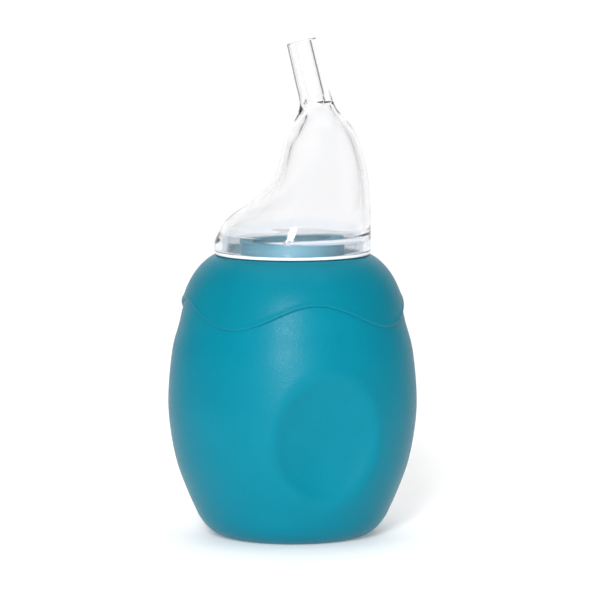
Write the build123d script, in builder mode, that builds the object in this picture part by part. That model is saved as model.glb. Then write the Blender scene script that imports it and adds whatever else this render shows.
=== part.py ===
# Nasal aspirator: a soft squeeze bulb, a wavy shoulder collar, a milky neck adapter,
# a rim seal and a clear trap whose slanted nozzle draws the mucus in.
#
# Millimetres, +Z up. The origin is the centre of the base that the bulb stands on.
# The nozzle leans towards -X, and the side that the thumb presses looks towards -Y.
import os
from math import cos, radians, sin

from build123d import *

# ---------------------------------------------------------------- driving sizes
# Bulb body. Heights are from the base, radii from the bulb's axis.
foot_radius = 15.0          # edge of the flat that the bulb stands on
heel_radius = 20.8          # end of the rounded heel
heel_height = 4.6
lower_radius = 25.6         # between the heel and the belly
lower_height = 16.6
belly_radius = 27.4         # widest place
belly_height = 31.2
upper_radius = 26.5         # between the belly and the collar
upper_height = 41.0
seat_radius = 24.85         # body beside the collar's lowest edge
crest_inset = 1.5           # body beside the collar's highest edge, inside the seat
bulb_wall = 2.2
shoulder_height = 62.2      # flat top of the collar, where the trap stands
neck_radius = 11.4          # soft neck that stands up through the collar
neck_bore = 8.5             # radius
neck_rise = 3.3             # neck above the shoulder

# Finger dimples, one each side of the bulb, on one line through its axis.
dimple_turn = 17.0          # from -Y towards +X
dimple_height = 24.0
dimple_floor = 22.4         # axis to the outer skin at the dimple's centre
dimple_sphere = 40.0        # hollow of the dish
dimple_pitch = 8.0          # the dish faces this much below the horizontal
dimple_rim = 7.0            # rounding from dish to body
panel_radius = 10.8         # part of the dish that the finger pushes in
panel_gap = 0.25            # slot round that part

# Shoulder collar: a dome of elliptical section with a wavy lower edge.
collar_core_inset = 3.6     # from the trap's rim in to the ellipse's centre
collar_proud = 0.05         # outside the body at the collar's lowest edge
collar_drop = 16.2          # shoulder to the ellipse's centre
collar_rise = 16.95         # ellipse half-height
collar_wall = 1.3
wave_count = 4
wave_depth = 3.1            # half the height from trough to crest
wave_drop = 11.75           # shoulder to the middle of the wave
wave_turn = 13.0            # from -Y towards +X, to a crest

# Neck adapter: cap over the neck, plug in its bore, skirt that the trap slides on.
skirt_radius = 15.5
skirt_wall = 1.3
skirt_height = 4.15
cap_wall = 0.9
plug_wall = 1.2
plug_depth = 8.0
air_hole = 2.0              # radius
fit_clearance = 0.05        # radial, for what slides or turns
rest_gap = 0.05             # under each piece that stands on another

# Rim seal: a flat soft ring under the trap's rim.
seal_thickness = 0.6
seal_inset = 0.2            # inside the trap's rim

# Trap: sections as (height over the adapter's cap, then how far the left side, the
# right side and the front and back are drawn in from the rim).
rim_wall = 1.65
trap_wall = 1.6
socket_headroom = 0.4       # over the adapter's cap, up into the first section
trap_sections = [
    (0.35, 0.95, 0.0, 0.3),
    (3.45, 2.8, 0.05, 1.1),
    (6.85, 7.3, 0.2, 2.6),
    (10.45, 11.1, 0.6, 4.3),
    (14.95, 13.8, 1.25, 6.2),
    (19.95, 15.0, 2.7, 8.0),
    (23.25, 16.2, 4.1, 9.5),
    (25.85, 18.2, 6.1, 11.6),
    (28.05, 18.65, 7.7, 13.05),
]
nozzle_root_x = 4.85        # where the tube leaves the trap
nozzle_root_rise = 2.4      # above the last section
nozzle_tilt = 13.6          # from the vertical, towards -X
nozzle_length = 12.5
nozzle_root_radius = 3.5
nozzle_tip_radius = 3.3
nozzle_bore = 1.85          # radius
nozzle_throat = 1.5         # the bore's funnel starts this far under the root
funnel_radius = 2.3
nozzle_lip = 0.5            # rounding of the tip

# ---------------------------------------------------------------- worked out
neck_top = shoulder_height + neck_rise
ellipse_height = shoulder_height - collar_drop
crest_radius = seat_radius - crest_inset
wave_middle = shoulder_height - wave_drop
cap_under = neck_top + rest_gap
skirt_foot = shoulder_height + rest_gap
skirt_top = max(skirt_foot + skirt_height, cap_under + cap_wall)
seal_foot = shoulder_height + rest_gap
seal_top = seal_foot + seal_thickness
rim_height = seal_top + rest_gap
socket_radius = skirt_radius + fit_clearance
rim_radius = socket_radius + rim_wall
collar_core = rim_radius - collar_core_inset     # centre of the ellipse, from the axis
collar_spread = seat_radius + collar_proud - collar_core
socket_top = skirt_top + socket_headroom
nozzle_root_height = skirt_top + trap_sections[-1][0] + nozzle_root_rise
room_radius = max(belly_radius, seat_radius) + collar_wall     # clear of the body all round
dimple_turns = {"thumb_panel": dimple_turn, "finger_panel": dimple_turn + 180}

os.makedirs("parts", exist_ok=True)


def pinch_plane(turn):
    """Plane at the bulb's axis, level with the dimples, its normal out through one."""
    outward = (sin(radians(turn)), -cos(radians(turn)), 0)
    return Plane(origin=(0, 0, dimple_height), x_dir=(0, 0, 1), z_dir=outward)


def dish_centre(turn):
    """Centre of the sphere that hollows the dish."""
    out = dimple_floor + dimple_sphere * cos(radians(dimple_pitch))
    down = dimple_sphere * sin(radians(dimple_pitch))
    return pinch_plane(turn).from_local_coords(Vector(-down, 0, out))


def wave_edge(radius):
    """Closed wavy line round the axis at this radius."""
    steps = 12 * wave_count
    points = []
    for step in range(steps):
        turn = radians(360 * step / steps)
        swing = cos(wave_count * (turn - radians(wave_turn)))
        height = wave_middle + wave_depth * swing
        points.append((radius * sin(turn), -radius * cos(turn), height))
    return Edge.make_spline([Vector(*point) for point in points], periodic=True)


def dome(inset):
    """Solid dome of the collar's section, drawn in all over by the inset."""
    with BuildPart() as blank:
        with BuildSketch(Plane.XZ):
            with Locations((collar_core, ellipse_height)):
                Ellipse(collar_spread - inset, collar_rise - inset)
            with Locations((0, ellipse_height)):
                Rectangle(collar_core, collar_rise - inset, align=Align.MIN)
                reach = 2 * (collar_core + collar_spread)
                Rectangle(reach, collar_rise, align=(Align.MIN, Align.MAX), mode=Mode.SUBTRACT)
            with Locations((0, shoulder_height - inset)):
                Rectangle(reach, collar_rise, align=Align.MIN, mode=Mode.SUBTRACT)
        revolve(axis=Axis.Z)
    return blank.part


def trap_section(level, inset):
    """One level section of the trap, drawn in by the wall where the inset is set."""
    height, left_in, right_in, depth_in = level
    left = -rim_radius + left_in + inset
    right = rim_radius - right_in - inset
    with BuildSketch(Plane.XY.offset(skirt_top + height)) as section:
        with Locations(((left + right) / 2, 0)):
            Ellipse((right - left) / 2, rim_radius - depth_in - inset)
    return section.sketch


def round_section(plane, radius):
    """A round section on this plane."""
    with BuildSketch(plane) as section:
        Circle(radius)
    return section.sketch


def outside_dome(inset):
    """All that lies outside the drawn-in dome, from its waist up."""
    with BuildPart() as outside:
        with BuildSketch(Plane.XY.offset(ellipse_height)):
            Circle(room_radius)
        extrude(amount=collar_rise)
        add(dome(inset), mode=Mode.SUBTRACT)
    return outside.part


def inward(point, along, inset):
    """The point moved in from the skin, square to the direction that the skin runs."""
    run = Vector(*along).normalized()
    return (point[0] - inset * run.Y, point[1] + inset * run.X)


def body_section(inset):
    """Half section of the bulb's body, drawn in all over by the inset."""
    heel_run = (0.5, 1)
    crest_run = (-0.4, 1)
    with BuildSketch(Plane.XZ) as section:
        with BuildLine():
            foot = Line((0, inset), (foot_radius, inset))
            heel_end = inward((heel_radius, heel_height), heel_run, inset)
            heel = Spline(foot @ 1, heel_end, tangents=[(1, 0), heel_run])
            side = Spline(
                heel @ 1,
                (lower_radius - inset, lower_height),
                (belly_radius - inset, belly_height),
                (upper_radius - inset, upper_height),
                (seat_radius - inset, wave_middle - wave_depth),
                (crest_radius - inset, wave_middle + wave_depth),
                tangents=[heel_run, crest_run],
            )
            rise = Line(side @ 1, (crest_radius - inset, shoulder_height))
            cover = Line(rise @ 1, (0, shoulder_height))
            Line(cover @ 1, foot @ 0)
        make_face()
    return section.sketch


# ---------------------------------------------------------------- shoulder collar
wave_surface = Face.make_surface_from_curves(wave_edge(collar_core), wave_edge(2 * room_radius))

with BuildPart() as collar_room:
    add(outside_dome(collar_wall))
    split(bisect_by=wave_surface, keep=Keep.BOTTOM)

with BuildPart() as shoulder_collar:
    add(dome(0))
    add(collar_room.part, mode=Mode.INTERSECT)
    with BuildSketch(Plane.XY):
        Circle(neck_radius)
    extrude(amount=2 * shoulder_height, mode=Mode.SUBTRACT)
shoulder_collar.part.label = "shoulder_collar"
export_step(shoulder_collar.part, "parts/shoulder_collar.step")

# ---------------------------------------------------------------- squeeze bulb
with BuildPart() as hollow:
    add(body_section(bulb_wall))
    revolve(axis=Axis.Z)
    add(outside_dome(collar_wall + bulb_wall), mode=Mode.SUBTRACT)
    for turn in dimple_turns.values():
        with Locations(dish_centre(turn)):
            Sphere(dimple_sphere + bulb_wall, mode=Mode.SUBTRACT)
    with BuildSketch(Plane.XY.offset(dimple_height)):
        Circle(neck_bore)
    extrude(amount=neck_top - dimple_height)

with BuildPart() as whole_bulb:
    add(body_section(0))
    revolve(axis=Axis.Z)
    for turn in dimple_turns.values():
        with Locations(dish_centre(turn)):
            Sphere(dimple_sphere, mode=Mode.SUBTRACT)
    rims = whole_bulb.edges().filter_by(GeomType.BSPLINE).filter_by(lambda edge: edge.is_closed)
    fillet(rims, radius=dimple_rim)
    add(collar_room.part, mode=Mode.SUBTRACT)
    with BuildSketch(Plane.XY.offset(shoulder_height - collar_wall - bulb_wall)):
        Circle(neck_radius)
    extrude(amount=collar_wall + bulb_wall + neck_rise)
    add(hollow.part, mode=Mode.SUBTRACT)

with BuildPart() as squeeze_bulb:
    add(whole_bulb.part)
    for turn in dimple_turns.values():
        with BuildSketch(pinch_plane(turn)):
            Circle(panel_radius + panel_gap)
        extrude(amount=2 * belly_radius, mode=Mode.SUBTRACT)
squeeze_bulb.part.label = "squeeze_bulb"
export_step(squeeze_bulb.part, "parts/squeeze_bulb.step")

# ---------------------------------------------------------------- pressed walls of the dimples
for name, turn in dimple_turns.items():
    with BuildPart() as panel:
        with BuildSketch(pinch_plane(turn)):
            Circle(panel_radius)
        extrude(amount=2 * belly_radius)
        add(whole_bulb.part, mode=Mode.INTERSECT)
    panel.part.label = name
    export_step(panel.part, f"parts/{name}.step")

# ---------------------------------------------------------------- neck adapter
with BuildPart() as neck_adapter:
    with BuildSketch(Plane.XY.offset(skirt_foot)):
        Circle(skirt_radius)
    extrude(amount=skirt_top - skirt_foot)
    top_rim = neck_adapter.edges().group_by(Axis.Z)[-1]
    fillet(top_rim, radius=cap_wall / 2)
    with BuildSketch(Plane.XY.offset(skirt_foot)):
        Circle(skirt_radius - skirt_wall)
    extrude(amount=cap_under - skirt_foot, mode=Mode.SUBTRACT)
    with BuildSketch(Plane.XY.offset(cap_under)):
        Circle(neck_bore - fit_clearance)
    extrude(amount=-plug_depth)
    with BuildSketch(Plane.XY.offset(cap_under)):
        Circle(neck_bore - fit_clearance - plug_wall)
    extrude(amount=-plug_depth, mode=Mode.SUBTRACT)
    with BuildSketch(Plane.XY.offset(cap_under)):
        Circle(air_hole)
    extrude(amount=skirt_top - cap_under, mode=Mode.SUBTRACT)
neck_adapter.part.label = "neck_adapter"
export_step(neck_adapter.part, "parts/neck_adapter.step")

# ---------------------------------------------------------------- rim seal
with BuildPart() as seal_ring:
    with BuildSketch(Plane.XY.offset(seal_foot)):
        Circle(rim_radius - seal_inset)
        Circle(socket_radius, mode=Mode.SUBTRACT)
    extrude(amount=seal_thickness)
seal_ring.part.label = "seal_ring"
export_step(seal_ring.part, "parts/seal_ring.step")

# ---------------------------------------------------------------- mucus trap and nozzle
nozzle_plane = Plane(
    origin=(nozzle_root_x, 0, nozzle_root_height),
    x_dir=(cos(radians(nozzle_tilt)), 0, sin(radians(nozzle_tilt))),
    z_dir=(-sin(radians(nozzle_tilt)), 0, cos(radians(nozzle_tilt))),
)

with BuildPart() as mucus_trap:
    outer = [round_section(Plane.XY.offset(rim_height), rim_radius)]
    outer += [trap_section(level, 0) for level in trap_sections]
    outer += [round_section(nozzle_plane, nozzle_root_radius)]
    loft(sections=outer)
    with Locations(nozzle_plane):
        Cone(nozzle_root_radius, nozzle_tip_radius, nozzle_length, align=(Align.CENTER, Align.CENTER, Align.MIN))
    inner = [trap_section(level, trap_wall) for level in trap_sections]
    inner += [round_section(nozzle_plane.offset(-nozzle_throat), funnel_radius)]
    loft(sections=inner, mode=Mode.SUBTRACT)
    with BuildSketch(Plane.XY.offset(rim_height)):
        Circle(socket_radius)
    extrude(amount=socket_top - rim_height, mode=Mode.SUBTRACT)
    with BuildSketch(nozzle_plane.offset(-2 * nozzle_throat)):
        Circle(nozzle_bore)
    extrude(amount=nozzle_length + 3 * nozzle_throat, mode=Mode.SUBTRACT)
    tip = mucus_trap.edges().filter_by(GeomType.CIRCLE).sort_by(Axis.Z)[-2:]
    fillet(tip.sort_by(SortBy.LENGTH)[-1], radius=nozzle_lip)
mucus_trap.part.label = "mucus_trap"
export_step(mucus_trap.part, "parts/mucus_trap.step")

for made in (shoulder_collar, squeeze_bulb, neck_adapter, seal_ring, mucus_trap):
    box = made.part.bounding_box()
    print(f"{made.part.label}: {len(made.solids())} solid, {made.part.volume:.0f} mm3, top {box.max.Z:.2f}")
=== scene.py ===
# %% [markdown]
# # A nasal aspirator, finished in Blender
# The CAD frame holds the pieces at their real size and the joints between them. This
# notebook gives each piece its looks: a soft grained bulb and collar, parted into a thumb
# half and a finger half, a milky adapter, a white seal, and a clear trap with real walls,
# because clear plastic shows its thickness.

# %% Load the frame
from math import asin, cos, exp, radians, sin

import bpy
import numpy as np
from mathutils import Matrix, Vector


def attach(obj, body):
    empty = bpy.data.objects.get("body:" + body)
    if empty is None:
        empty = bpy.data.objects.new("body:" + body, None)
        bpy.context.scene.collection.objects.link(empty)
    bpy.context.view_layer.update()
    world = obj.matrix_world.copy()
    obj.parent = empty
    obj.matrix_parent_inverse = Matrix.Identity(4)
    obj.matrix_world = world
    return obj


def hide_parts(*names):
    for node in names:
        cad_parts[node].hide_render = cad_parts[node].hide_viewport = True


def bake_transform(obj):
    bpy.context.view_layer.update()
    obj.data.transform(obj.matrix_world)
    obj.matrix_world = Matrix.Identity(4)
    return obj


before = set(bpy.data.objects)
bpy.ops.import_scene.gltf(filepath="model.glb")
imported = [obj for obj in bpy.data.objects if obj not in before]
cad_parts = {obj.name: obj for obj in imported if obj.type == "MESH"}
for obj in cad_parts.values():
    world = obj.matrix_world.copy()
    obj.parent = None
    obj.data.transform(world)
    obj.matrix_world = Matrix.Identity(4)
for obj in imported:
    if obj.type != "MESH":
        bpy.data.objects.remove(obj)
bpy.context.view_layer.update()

# %% [markdown]
# Blender works in metres, and a maker thinks of such a piece in millimetres, so outlines
# are listed in millimetres and multiplied by `MM`. The helpers do what a hand does often:
# select nothing, make one piece active, and bake a finished piece's place into its mesh.

MM = 0.001


def deselect():
    bpy.ops.object.select_all(action="DESELECT")


def activate(piece):
    deselect()
    piece.select_set(True)
    bpy.context.view_layer.objects.active = piece


def settle(name):
    """Names the active object and bakes its place and size into its mesh."""
    piece = bpy.context.active_object
    piece.name = name
    piece.data.name = name
    bpy.ops.object.transform_apply(location=True, rotation=True, scale=True)
    return piece


def smooth(piece, angle=35):
    activate(piece)
    bpy.ops.object.shade_smooth_by_angle(angle=radians(angle))


def read_points(piece):
    points = np.empty(len(piece.data.vertices) * 3)
    piece.data.vertices.foreach_get("co", points)
    return points.reshape(-1, 3)


def write_points(piece, points):
    piece.data.vertices.foreach_set("co", points.ravel())
    piece.data.update()


# %% [markdown]
# Every piece here is hollow and more or less round. A Screw modifier would spin a flat
# outline, but its rings could only be circles. So the pieces are built as a potter
# builds: a circle is added, then extruded ring by ring, and each new ring is moved and
# resized. A ring is (centre along X, half-width, half-depth, height), so it may be oval
# and off the axis, as the trap's are. The outline goes up the outside and down the
# inside, which gives a real wall and leaves nothing open.

# %% Ring stack
MERGE_DISTANCE = 0.0005 * MM


def ring_stack(name, rings, sides=180, closed=False):
    """Extrudes a circle through the rings, then closes the poles or joins the ends."""
    deselect()
    across, wide, deep, height = rings[0]
    centre = (across, 0, height)
    bpy.ops.mesh.primitive_circle_add(vertices=sides, radius=wide, location=centre)
    bpy.ops.object.mode_set(mode="EDIT")
    bpy.ops.transform.resize(value=(1, deep / wide, 1), center_override=centre)
    for new in rings[1:] + rings[:1] * closed:
        step = (new[0] - across, 0, new[3] - height)
        bpy.ops.mesh.extrude_region_move(TRANSFORM_OT_translate={"value": step})
        grow = (new[1] / wide, new[2] / deep, 1)
        across, wide, deep, height = new
        bpy.ops.transform.resize(value=grow, center_override=(across, 0, height))
    bpy.ops.mesh.select_all(action="SELECT")
    bpy.ops.mesh.remove_doubles(threshold=MERGE_DISTANCE)
    bpy.ops.mesh.fill_holes(sides=0)
    bpy.ops.mesh.select_all(action="SELECT")
    bpy.ops.mesh.normals_make_consistent(inside=False)
    bpy.ops.object.mode_set(mode="OBJECT")
    piece = settle(name)
    print(name, "has", len(rings), "rings and", len(piece.data.polygons), "faces")
    return piece


def through(keys, steps):
    """A smooth line through the key points, each a tuple of numbers (Catmull-Rom)."""
    keys = [np.array(key, float) for key in keys]
    ends = [2 * keys[0] - keys[1]] + keys + [2 * keys[-1] - keys[-2]]
    line = []
    for index in range(len(keys) - 1):
        before, start, end, after = ends[index : index + 4]
        for step in range(steps):
            t = step / steps
            pull = end - before
            bend = before - 2.5 * start + 2 * end - 0.5 * after
            swing = 1.5 * (start - end) + 0.5 * (after - before)
            line.append(start + 0.5 * t * pull + t * t * bend + t * t * t * swing)
    return [tuple(point) for point in line] + [tuple(keys[-1])]


def joined(*stretches):
    """Several (keys, steps) stretches as one line, each starting where the last ended."""
    line = []
    for keys, steps in stretches:
        line = line[:-1] + through(keys, steps)
    return line


def round_rings(outline):
    """Round rings, in metres, from (radius, height) pairs in millimetres."""
    return [(0.0, radius * MM, radius * MM, height * MM) for radius, height in outline]


# %% [markdown]
# ## Squeeze bulb
# The real bulb is one soft moulding: a barrel on a rounded heel, with a neck that stands
# up through the collar. Each stretch of its outline is a few key points with a smooth
# line through them. Rings are closer together near the collar, where the shape turns.

# %% Bulb outline
FOOT = [
    (0.6, 0.0), (8.0, 0.0), (13.2, 0.0), (15.4, 0.14),
    (17.4, 0.95), (19.3, 2.5), (20.8, 4.6),
]
SIDE = [
    (20.8, 4.6), (23.35, 10.3), (25.6, 16.6), (27.0, 24.0),
    (27.4, 31.2), (26.5, 41.0), (24.85, 47.35),
]
TUCK = [(24.85, 47.35), (24.15, 50.4), (23.3, 53.5), (22.0, 55.7), (20.3, 57.4), (18.0, 58.9)]
NECK = [
    (18.0, 58.9), (14.5, 60.0), (11.9, 60.3), (11.4, 61.3),
    (11.4, 64.7), (11.05, 65.2), (10.4, 65.3),
]
BORE = [
    (10.4, 65.3), (9.2, 65.3), (8.65, 65.15), (8.5, 64.6),
    (8.5, 61.5), (8.6, 59.2), (9.5, 58.4),
]
ROOF = [(9.5, 58.4), (13.5, 57.6), (17.3, 55.9), (19.6, 53.3), (20.9, 50.0), (22.4, 46.0)]
INSIDE = [
    (22.4, 46.0), (24.3, 41.0), (25.2, 31.2), (24.8, 24.0),
    (23.4, 16.8), (21.2, 10.9), (18.9, 6.2),
]
FLOOR = [(18.9, 6.2), (16.2, 3.2), (13.5, 2.3), (7.0, 2.2), (0.6, 2.2)]

outside = joined((FOOT, 4), (SIDE, 8), (TUCK, 6), (NECK, 4))
inside = joined((BORE, 3), (ROOF, 3), (INSIDE, 3), (FLOOR, 3))
bulb = ring_stack("bulb_skin", round_rings(outside[:-1] + inside))

# %% [markdown]
# The two dimples, for the thumb and a finger, are pressed in last. Each is a shallow
# dish: what lies inside a large ball is pushed out to the ball's skin. A Boolean would
# leave a hard edge, so a soft maximum rounds the rim over a few millimetres, as soft
# rubber is moulded. The inner wall gets the same press with a ball one wall larger.

# %% Dimples
PINCH_TURN = radians(17)
pinch = Vector((sin(PINCH_TURN), -cos(PINCH_TURN), 0))
WALL = 2.2 * MM
DISH_BALL = 40 * MM
DISH_FLOOR = 22.4 * MM
DISH_HEIGHT = 24 * MM
DISH_PITCH = radians(8)
DISH_SOFTNESS = 1.9 * MM


def press_dish(points, side, wall):
    """Pushes the points out of the ball that hollows one dimple."""
    out = DISH_FLOOR + DISH_BALL * cos(DISH_PITCH)
    drop = Vector((0, 0, DISH_HEIGHT - DISH_BALL * sin(DISH_PITCH)))
    away = points - np.array(side * out * pinch + drop)
    far = np.linalg.norm(away, axis=1)
    depth = DISH_BALL + wall - far
    mix = np.clip(0.5 + 0.5 * depth / DISH_SOFTNESS, 0, 1)
    push = depth * mix + 0.5 * DISH_SOFTNESS * mix * (1 - mix)
    return points + away / far[:, None] * push[:, None]


points = read_points(bulb)
side_heights = [height * MM for radius, height in FOOT[3:] + SIDE[1:]]
side_radii = [radius * MM for radius, height in FOOT[3:] + SIDE[1:]]
skin = np.interp(points[:, 2], side_heights, side_radii)
outer = np.hypot(points[:, 0], points[:, 1]) > skin - WALL / 2
for side in (1, -1):
    points[outer] = press_dish(points[outer], side, 0)
    points[~outer] = press_dish(points[~outer], side, WALL)
write_points(bulb, points)
print("outer skin", int(outer.sum()), "of", len(points), "points")

# %% [markdown]
# ## Shoulder collar
# The collar is a soft dome moulded over the bulb's shoulder, with a wavy lower edge that
# ends in a rounded lip. Its section is worked out for any height of that edge, so the
# rings are first stacked with a level edge, and then each point is moved to the place
# that the section has at its own angle round the axis.

# %% Collar
CORE, SPREAD = 13.6, 11.3
WAIST, RISE = 46.0, 16.95
COLLAR_TOP = 62.2
NECK_HOLE = 11.5
WAVE_MIDDLE, WAVE_DEPTH, WAVE_COUNT = 50.05, 2.75, 4
WAVE_TURN = radians(13)
LIP = 0.6
PROUD = 0.12
TOP_ROUNDING = 0.25
UNDER_TOP, UNDER_GAP, UNDER_EDGE = 58.9, 0.03, 0.1
BEAD, BEAD_REACH = 0.16, 0.6
DOME_STEPS, LIP_STEPS, UNDER_STEPS = 26, 5, 10
CROWDING = 1.7


def collar_section(edge):
    """Closed section of the collar, as (radius, height) in mm, for one edge height."""
    low = asin((edge + LIP - WAIST) / RISE)
    high = asin((COLLAR_TOP - TOP_ROUNDING - WAIST) / RISE)
    dome = []
    for step in range(DOME_STEPS + 1):
        t = (step / DOME_STEPS) ** CROWDING
        turn = low + (high - low) * t
        height = WAIST + RISE * sin(turn)
        bead = BEAD * exp(-(((height - edge - LIP) / BEAD_REACH) ** 2))
        dome.append((CORE + SPREAD * cos(turn) + PROUD * (1 - t) + bead, height))
    lip = []
    for step in range(LIP_STEPS):
        turn = radians(-90 + 90 * step / LIP_STEPS)
        lip.append((dome[0][0] - LIP + LIP * cos(turn), edge + LIP + LIP * sin(turn)))
    top = [(16.75, 62.08), (16.4, 62.18), (15.8, COLLAR_TOP)]
    top += [(12.0, COLLAR_TOP), (11.65, 62.12), (NECK_HOLE, 61.9)]
    tuck_heights = [height for radius, height in TUCK]
    tuck_radii = [radius for radius, height in TUCK]
    under = [(NECK_HOLE, 61.2), (12.1, 60.5), (14.6, 60.1)]
    for step in range(UNDER_STEPS + 1):
        height = UNDER_TOP + (edge + UNDER_EDGE - UNDER_TOP) * step / UNDER_STEPS
        under.append((float(np.interp(height, tuck_heights, tuck_radii)) + UNDER_GAP, height))
    return lip + dome + top + under


level = np.array(collar_section(WAVE_MIDDLE))
collar = ring_stack("collar_skin", round_rings(collar_section(WAVE_MIDDLE)), closed=True)
points = read_points(collar)
for index, (x, y, z) in enumerate(points):
    angle = np.arctan2(x, -y)
    edge = WAVE_MIDDLE + WAVE_DEPTH * cos(WAVE_COUNT * (angle - WAVE_TURN))
    ring = np.argmin(np.hypot(level[:, 0] - np.hypot(x, y) / MM, level[:, 1] - z / MM))
    radius, height = collar_section(edge)[ring]
    points[index] = (radius * MM * sin(angle), -radius * MM * cos(angle), height * MM)
write_points(collar, points)
print("collar edge from", round(points[:, 2].min() / MM, 2), "mm up")

# %% [markdown]
# ## Neck adapter and rim seal
# The adapter is a thin milky cup turned upside down over the neck, with a plug that
# fills the neck's bore and an air hole in its cap. The seal is a soft white ring. Both
# are turned from a closed section with every edge rounded, because a thin bright edge is
# what shows that a piece is moulded.

# %% Adapter and seal
SKIRT = [
    (15.0, 62.25), (15.35, 62.3), (15.5, 62.5), (15.5, 64.0),
    (15.5, 65.4), (15.35, 65.8), (14.9, 65.95),
]
CAP = [(14.9, 65.95), (12.0, 65.95), (6.0, 65.95), (2.4, 65.95), (2.08, 65.88), (2.0, 65.75)]
HOLE = [
    (2.0, 65.75), (2.0, 65.55), (2.08, 65.42), (2.4, 65.35),
    (4.6, 65.35), (6.8, 65.35), (7.2, 65.1),
]
PLUG_IN = [(7.2, 65.1), (7.25, 64.5), (7.25, 61.0), (7.25, 58.0), (7.35, 57.66), (7.65, 57.55)]
PLUG_OUT = [
    (7.65, 57.55), (8.15, 57.57), (8.42, 57.8), (8.45, 58.4),
    (8.45, 62.0), (8.45, 64.9), (8.7, 65.3),
]
UNDER_CAP = [(8.7, 65.3), (9.2, 65.35), (11.5, 65.35), (13.8, 65.35), (14.15, 65.1), (14.2, 64.6)]
SKIRT_IN = [(14.2, 64.6), (14.2, 63.6), (14.2, 62.5), (14.35, 62.29), (14.7, 62.25)]

plug = ((PLUG_IN, 3), (PLUG_OUT, 3))
cup = joined((SKIRT, 3), (CAP, 2), (HOLE, 3), *plug, (UNDER_CAP, 3), (SKIRT_IN, 3))
adapter = ring_stack("adapter_cup", round_rings(cup), closed=True)

SEAL = [
    (15.75, 62.25), (16.4, 62.25), (16.9, 62.27), (17.08, 62.4),
    (17.1, 62.55), (17.08, 62.7), (16.9, 62.83),
]
SEAL_IN = [
    (16.9, 62.83), (16.4, 62.85), (15.8, 62.85),
    (15.62, 62.7), (15.6, 62.55), (15.62, 62.35),
]
seal = ring_stack("seal_band", round_rings(joined((SEAL, 3), (SEAL_IN, 3))), closed=True)

# %% [markdown]
# ## Mucus trap
# The trap is one clear moulding, 1.6 mm thick: a round rim that slides over the adapter,
# a body that leans to one side, and a narrow tube. Its rings are listed as (height, left
# edge, right edge, half-depth). The tube is stacked upright and bent afterwards, because
# rings that are level are easy to size.

# %% Trap rings
RIM = 17.2
OUTER = [
    (62.9, -16.9, 16.9, 16.9),
    (62.98, -17.12, 17.12, 17.12),
    (63.25, -RIM, RIM, RIM),
    (65.0, -17.1, RIM, RIM),
    (66.8, -16.35, RIM, 17.15),
    (69.9, -14.4, RIM, 16.4),
    (73.3, -9.9, 17.15, 14.6),
    (76.9, -6.1, 16.9, 12.9),
    (81.4, -3.4, 16.3, 11.0),
    (86.4, -2.2, 14.95, 9.2),
    (89.7, -1.0, 13.4, 7.7),
    (92.3, 0.8, 11.3, 5.65),
    (94.5, 1.45, 9.4, 4.15),
    (96.9, 1.4, 8.4, 3.52),
    (99.5, 1.4, 8.3, 3.46),
]
TUBE_OUT = [(99.5, 3.46), (104.0, 3.38), (108.8, 3.3), (109.15, 3.2), (109.35, 2.98), (109.4, 2.65)]
TUBE_IN = [
    (109.4, 2.65), (109.38, 2.2), (109.25, 1.93), (108.9, 1.85),
    (104.0, 1.85), (99.0, 1.85), (96.2, 1.85),
]
THROAT = [
    (96.2, 3.0, 6.7, 1.85), (95.7, 2.9, 6.9, 1.95),
    (95.5, 2.75, 7.4, 2.3), (95.25, 2.7, 7.95, 2.6),
]
INNER = [
    (95.25, 2.7, 7.95, 2.6),
    (94.4, 2.75, 8.2, 2.8),
    (92.3, 2.85, 9.6, 4.05),
    (89.7, 1.5, 11.7, 6.1),
    (86.4, -0.3, 13.3, 7.6),
    (81.4, -1.65, 14.7, 9.4),
    (76.9, -4.3, 15.3, 11.3),
    (73.3, -8.1, 15.55, 13.0),
    (69.9, -12.6, 15.6, 14.5),
    (68.2, -14.1, 15.6, 15.0),
    (67.2, -14.75, 15.45, 15.2),
    (66.5, -15.2, 15.25, 15.25),
]
SOCKET = [
    (66.5, 15.25), (66.1, 15.35), (65.6, 15.5), (65.1, 15.55),
    (64.2, 15.55), (63.2, 15.55), (62.95, 15.68),
]
NOZZLE_X = 4.85


def trap_rings(rows):
    """Rings, in metres, from (height, left, right, half-depth) rows in millimetres."""
    rings = []
    for height, left, right, deep in rows:
        rings.append(((left + right) / 2 * MM, (right - left) / 2 * MM, deep * MM, height * MM))
    return rings


def about(centre, pairs):
    """Trap rows for round rings about one centre, from (height, radius) pairs."""
    return [(height, centre - radius, centre + radius, radius) for height, radius in pairs]


tube = ((about(NOZZLE_X, TUBE_OUT), 5), (about(NOZZLE_X, TUBE_IN), 5))
walls = joined((OUTER, 6), *tube, (THROAT, 3), (INNER, 6))
walls = walls[:-1] + joined((about(0, SOCKET), 3))
trap = ring_stack("trap_shell", trap_rings(walls), sides=144, closed=True)

# %% [markdown]
# The tube leans 13.6 degrees. Each point above the bend's start turns about the tube's
# root, by an angle that grows smoothly, so the flare at the root stays round.

# %% Bend the tube
LEAN = radians(13.6)
ROOT_HEIGHT = 96.9 * MM
BEND_FROM, BEND_TO = 93.5 * MM, 99.0 * MM

points = read_points(trap)
part_way = np.clip((points[:, 2] - BEND_FROM) / (BEND_TO - BEND_FROM), 0, 1)
angle = LEAN * part_way**2 * (3 - 2 * part_way)
across = points[:, 0] - NOZZLE_X * MM
above = points[:, 2] - ROOT_HEIGHT
points[:, 0] = NOZZLE_X * MM + across * np.cos(angle) - above * np.sin(angle)
points[:, 2] = ROOT_HEIGHT + across * np.sin(angle) + above * np.cos(angle)
write_points(trap, points)
print("tip height in mm:", round(points[:, 2].max() / MM, 2))

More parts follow.
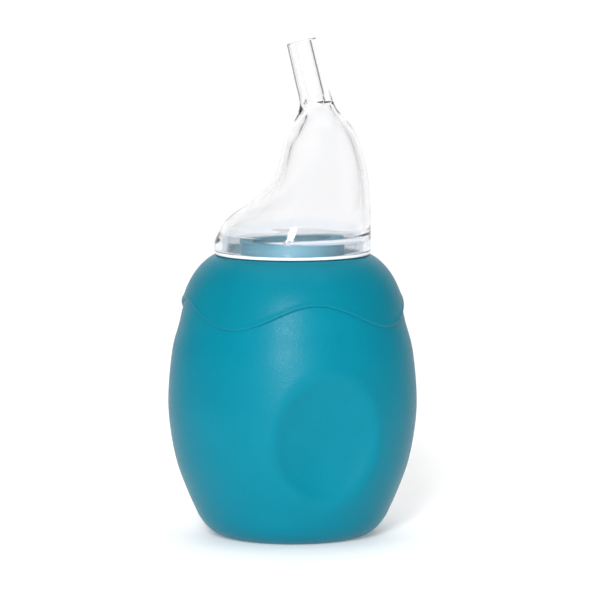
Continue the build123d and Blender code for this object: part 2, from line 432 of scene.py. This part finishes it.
# %% [markdown]
# ## Shading and parting
# Everything is shaded smooth, with edges kept only where two faces meet sharply. The bulb
# and the collar are then parted into a thumb half and a finger half, along the plane
# where a real mould parts, so that each half can follow the finger that presses it.

# %% Part the soft pieces
CUT_TOLERANCE = 0.0001 * MM


def half_of(piece, name, side):
    """The half of the piece on one side of the parting plane, closed along the cut."""
    activate(piece)
    bpy.ops.object.duplicate()
    bpy.ops.object.mode_set(mode="EDIT")
    bpy.ops.mesh.select_all(action="SELECT")
    plane = {"plane_co": (0, 0, 0), "plane_no": side * pinch}
    bpy.ops.mesh.bisect(**plane, use_fill=True, clear_inner=True, threshold=CUT_TOLERANCE)
    bpy.ops.mesh.select_all(action="SELECT")
    bpy.ops.mesh.normals_make_consistent(inside=False)
    bpy.ops.object.mode_set(mode="OBJECT")
    half = settle(name)
    smooth(half)
    return half


halves = {}
for whole in (bulb, collar):
    label = whole.name
    thumb_half = half_of(whole, label + "_thumb_half", 1)
    finger_half = half_of(whole, label + "_finger_half", -1)
    halves[label] = (thumb_half, finger_half)
    bpy.data.objects.remove(whole)
for piece in (adapter, seal, trap):
    smooth(piece)
print("halves:", [half.name for pair in halves.values() for half in pair])

# %% [markdown]
# ## Materials
# One function starts a Principled material, and small ones add what the nodes have to
# draw. Numbers that are the same all over are set on the shader's own sockets.

# %% Material helpers
def new_material(name, color, roughness, **sockets):
    material = bpy.data.materials.new(name)
    material.use_nodes = True
    shader = material.node_tree.nodes["Principled BSDF"]
    shader.inputs["Base Color"].default_value = (*color, 1)
    shader.inputs["Roughness"].default_value = roughness
    for socket, value in sockets.items():
        shader.inputs[socket.replace("_", " ")].default_value = value
    return material


def add_noise(material, scale, detail, seed):
    """A Noise texture on Object coordinates, moved by the seed so that no two agree."""
    nodes, links = material.node_tree.nodes, material.node_tree.links
    place = nodes.new("ShaderNodeTexCoord")
    shift = nodes.new("ShaderNodeMapping")
    shift.inputs["Location"].default_value = (seed, seed * 0.7, seed * 0.3)
    noise = nodes.new("ShaderNodeTexNoise")
    noise.inputs["Scale"].default_value = scale
    noise.inputs["Detail"].default_value = detail
    links.new(place.outputs["Object"], shift.inputs["Vector"])
    links.new(shift.outputs["Vector"], noise.inputs["Vector"])
    return noise


def vary(material, noise, socket, low, high):
    """The noise sets a number between low and high on the shader's socket."""
    nodes, links = material.node_tree.nodes, material.node_tree.links
    spread = nodes.new("ShaderNodeMapRange")
    spread.inputs["From Min"].default_value = 0.3
    spread.inputs["From Max"].default_value = 0.7
    spread.inputs["To Min"].default_value = low
    spread.inputs["To Max"].default_value = high
    links.new(noise.outputs["Fac"], spread.inputs["Value"])
    links.new(spread.outputs["Result"], nodes["Principled BSDF"].inputs[socket])


def tint(material, noise, first, second):
    """The noise mixes two near colours, as pigment never mixes quite evenly."""
    nodes, links = material.node_tree.nodes, material.node_tree.links
    mix = nodes.new("ShaderNodeMix")
    mix.data_type = "RGBA"
    mix.inputs["A"].default_value = (*first, 1)
    mix.inputs["B"].default_value = (*second, 1)
    links.new(noise.outputs["Fac"], mix.inputs["Factor"])
    links.new(mix.outputs["Result"], nodes["Principled BSDF"].inputs["Base Color"])


def bump(material, noise, depth, strength=1.0):
    """The noise lifts the surface by up to the depth, after any bump already there."""
    nodes, links = material.node_tree.nodes, material.node_tree.links
    normal = nodes["Principled BSDF"].inputs["Normal"]
    lift = nodes.new("ShaderNodeBump")
    lift.inputs["Distance"].default_value = depth
    lift.inputs["Strength"].default_value = strength
    if normal.links:
        links.new(normal.links[0].from_socket, lift.inputs["Normal"])
    links.new(noise.outputs["Fac"], lift.inputs["Height"])
    links.new(lift.outputs["Normal"], normal)


# %% [markdown]
# Both soft pieces share one recipe: a matt rubber whose colour drifts a little between
# two close teals. It reflects weakly, because a stronger reflection would turn the
# outline pale. The front light still gives one soft highlight.

# %% Soft teal rubber
GRAIN_SCALE, GRAIN_DEPTH = 3600, 0.045 * MM
UNEVEN_SCALE, UNEVEN_DEPTH = 1100, 0.02 * MM
DRIFT_SCALE, GLOSS_SCALE = 90, 3400
BULB_DARK, BULB_LIGHT = (0.0005, 0.165, 0.236), (0.001, 0.192, 0.270)
COLLAR_DARK, COLLAR_LIGHT = (0.0005, 0.158, 0.224), (0.001, 0.184, 0.256)


def soft_rubber(name, dark, light, seed):
    """Satin moulded rubber: fine spark-eroded grain and a faint unevenness below it."""
    rubber = new_material(name, light, 0.46, IOR=1.45, Specular_IOR_Level=0.11)
    tint(rubber, add_noise(rubber, DRIFT_SCALE, 3, seed), dark, light)
    bump(rubber, add_noise(rubber, GRAIN_SCALE, 1, seed), GRAIN_DEPTH)
    bump(rubber, add_noise(rubber, UNEVEN_SCALE, 2, seed + 3), UNEVEN_DEPTH)
    vary(rubber, add_noise(rubber, GLOSS_SCALE, 0, seed + 5), "Roughness", 0.28, 0.44)
    return rubber


bulb_finish = soft_rubber("bulb_grain", BULB_DARK, BULB_LIGHT, 1.0)
collar_finish = soft_rubber("collar_grain", COLLAR_DARK, COLLAR_LIGHT, 2.0)
print("rubber finishes:", bulb_finish.name, collar_finish.name)

# %% [markdown]
# The milky adapter is a grey-white plastic that is mostly see-through, so the teal neck
# shows in it. Each of its walls covers a little of what lies behind, so it looks more
# solid where the view runs through more walls. The seal is a plain soft white.

# %% Plastics
MILKY_COLOR = (0.24, 0.235, 0.24)
MILKY_COVER = 0.15
SEAL_COLOR = (0.80, 0.82, 0.84)

milky_finish = new_material(
    "milky_cup", MILKY_COLOR, 0.45, Specular_IOR_Level=0.1, Alpha=MILKY_COVER
)
bump(milky_finish, add_noise(milky_finish, 400, 2, 3.0), 0.02 * MM)
seal_finish = new_material("seal_white", SEAL_COLOR, 0.4, IOR=1.41)
vary(seal_finish, add_noise(seal_finish, 600, 2, 4.0), "Roughness", 0.3, 0.5)
print("plastics:", milky_finish.name, seal_finish.name)

# %% [markdown]
# The trap is clear, and its rim looks faintly blue, because the milky adapter shows in
# the whole thickness of the wall there. The base colour fades over a few millimetres
# of height from one to the other.

# %% Clear plastic
BAND_COLOR = (0.90, 0.935, 0.975)
CLEAR_COLOR = (0.985, 0.984, 0.99)
BAND_TOP, CLEAR_FROM = 66.4 * MM, 68.4 * MM

clear_finish = new_material(
    "clear_shell", CLEAR_COLOR, 0.02, IOR=1.36, Specular_IOR_Level=0.18, Transmission_Weight=1.0
)
bump(clear_finish, add_noise(clear_finish, 120, 1, 5.0), 0.02 * MM)
nodes, links = clear_finish.node_tree.nodes, clear_finish.node_tree.links
place = nodes.new("ShaderNodeTexCoord")
split = nodes.new("ShaderNodeSeparateXYZ")
rise = nodes.new("ShaderNodeMapRange")
rise.interpolation_type = "SMOOTHSTEP"
rise.inputs["From Min"].default_value = BAND_TOP
rise.inputs["From Max"].default_value = CLEAR_FROM
blend = nodes.new("ShaderNodeMix")
blend.data_type = "RGBA"
blend.inputs["A"].default_value = (*BAND_COLOR, 1)
blend.inputs["B"].default_value = (*CLEAR_COLOR, 1)
links.new(place.outputs["Object"], split.inputs["Vector"])
links.new(split.outputs["Z"], rise.inputs["Value"])
links.new(rise.outputs["Result"], blend.inputs["Factor"])
links.new(blend.outputs["Result"], nodes["Principled BSDF"].inputs["Base Color"])
print("the clear plastic is tinted up to", round(CLEAR_FROM / MM, 1), "mm")

# %% Give each piece its finish
finishes = [
    (halves["bulb_skin"], bulb_finish, "bulb_rubber"),
    (halves["collar_skin"], collar_finish, "collar_rubber"),
    ((adapter,), milky_finish, "milky_plastic"),
    ((seal,), seal_finish, "seal_rubber"),
    ((trap,), clear_finish, "clear_plastic"),
]
for pieces, material, slot in finishes:
    for piece in pieces:
        piece.data.materials.clear()
        piece.data.materials.append(material)
print("finishes:", [material.name for pieces, material, slot in finishes])

# %% [markdown]
# ## Joints
# Hard pieces ride on their bodies. The soft halves only have their places baked into
# their meshes.
# The trap casts no shadow, because a clear shell would keep the lights' direct rays off
# the adapter inside it.

for pair in halves.values():
    for half, side, body in zip(pair, (1, -1), ("thumb_side", "finger_side")):
        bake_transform(half)
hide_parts("squeeze_bulb", "thumb_panel")
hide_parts("squeeze_bulb", "finger_panel")
for half in halves["collar_skin"]:
    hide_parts("shoulder_collar")
for piece, body, node in (
    (adapter, "adapter", "neck_adapter"),
    (seal, "seal", "seal_ring"),
    (trap, "trap", "mucus_trap"),
):
    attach(piece, body)
    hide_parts(node)
trap.visible_shadow = False

# %% [markdown]
# ## Studio
# The floor is one white sheet that sweeps up behind the object, as in a product studio.
# Clear plastic is drawn by what it bends: the sheet is bright, and what lies beside and
# behind the camera is grey, so each wall of the trap gets a thin grey edge.

# %% Floor
FLOOR_SIZE, SWEEP_HEIGHT, SWEEP_RADIUS = 2.4, 1.6, 0.5
PAPER_COLOR = (0.93, 0.93, 0.93)
PAPER_GLOW = 0.2

deselect()
bpy.ops.mesh.primitive_plane_add(size=FLOOR_SIZE, location=(0, 0, 0))
bpy.ops.object.mode_set(mode="EDIT")
bpy.ops.mesh.select_mode(type="EDGE")
bpy.ops.mesh.select_all(action="DESELECT")
bpy.ops.object.mode_set(mode="OBJECT")
floor = bpy.context.active_object
for edge in floor.data.edges:
    ends = [floor.data.vertices[index].co for index in edge.vertices]
    edge.select = all(end.y > 1 for end in ends)
bpy.ops.object.mode_set(mode="EDIT")
bpy.ops.mesh.extrude_region_move(TRANSFORM_OT_translate={"value": (0, 0, SWEEP_HEIGHT)})
bpy.ops.object.mode_set(mode="OBJECT")
for edge in floor.data.edges:
    ends = [floor.data.vertices[index].co for index in edge.vertices]
    edge.select = all(end.y > 1 and end.z < 0.01 for end in ends)
bpy.ops.object.mode_set(mode="EDIT")
bpy.ops.mesh.bevel(offset=SWEEP_RADIUS, offset_pct=0, segments=16, affect="EDGES")
bpy.ops.object.mode_set(mode="OBJECT")
floor = settle("floor_sweep")
smooth(floor, 60)
glow = {"Emission_Color": (1, 1, 1, 1), "Emission_Strength": PAPER_GLOW}
paper = new_material("white_sweep", PAPER_COLOR, 0.7, **glow)
vary(paper, add_noise(paper, 40, 2, 6.0), "Roughness", 0.65, 0.75)
floor.data.materials.append(paper)
print("the sweep has", len(floor.data.polygons), "faces")

# %% [markdown]
# A tall narrow softbox in front makes the highlight on the bulb. A wide one overhead
# whitens the sweep and the top. The grey room is a little darker than the sweep, and
# the clear trap bends some of it into view: those are the thin dark lines at its edges.

# %% Lights
FRONT_PLACE, FRONT_WATTS = (-0.12, -1.05, 0.42), 13.5
TOP_PLACE, TOP_WATTS = (0, 0.15, 1.3), 8.5
ROOM_STRENGTH = 0.24


def soft_light(name, place, aim, width, tall, power):
    """A rectangular softbox at the place, turned to the aim."""
    data = bpy.data.lights.new(name, "AREA")
    data.shape = "RECTANGLE"
    data.size, data.size_y = width, tall
    data.energy = power
    light = bpy.data.objects.new(name, data)
    light.location = place
    light.rotation_euler = (Vector(aim) - Vector(place)).to_track_quat("-Z", "Y").to_euler()
    bpy.context.scene.collection.objects.link(light)
    print(name, power, "W")


soft_light("front_softbox", FRONT_PLACE, (0, 0, 0.045), 0.2, 0.42, FRONT_WATTS)
soft_light("top_softbox", TOP_PLACE, (0, 0.1, 0), 1.4, 1.4, TOP_WATTS)
world = bpy.data.worlds.new("grey_room")
bpy.context.scene.world = world
world.use_nodes = True
room = world.node_tree.nodes["Background"]
room.inputs["Color"].default_value = (1, 1, 1, 1)
room.inputs["Strength"].default_value = ROOM_STRENGTH

# %% [markdown]
# A long lens from nearly a metre away keeps the bulb's outline free of perspective.

# %% Camera
LENS = 259
CAMERA_DISTANCE = 0.95
RISE_ANGLE = radians(6)
look = Vector((1.65, 0, 52)) * MM
camera_data = bpy.data.cameras.new("camera")
camera_data.lens = LENS
camera_data.clip_end = 20
camera = bpy.data.objects.new("camera", camera_data)
bpy.context.scene.collection.objects.link(camera)
camera.location = look + CAMERA_DISTANCE * Vector((0, -cos(RISE_ANGLE), sin(RISE_ANGLE)))
camera.rotation_euler = (look - camera.location).to_track_quat("-Z", "Y").to_euler()
bpy.context.scene.camera = camera
bpy.context.scene.view_settings.view_transform = "Standard"
print("camera at", [round(v, 3) for v in camera.location])
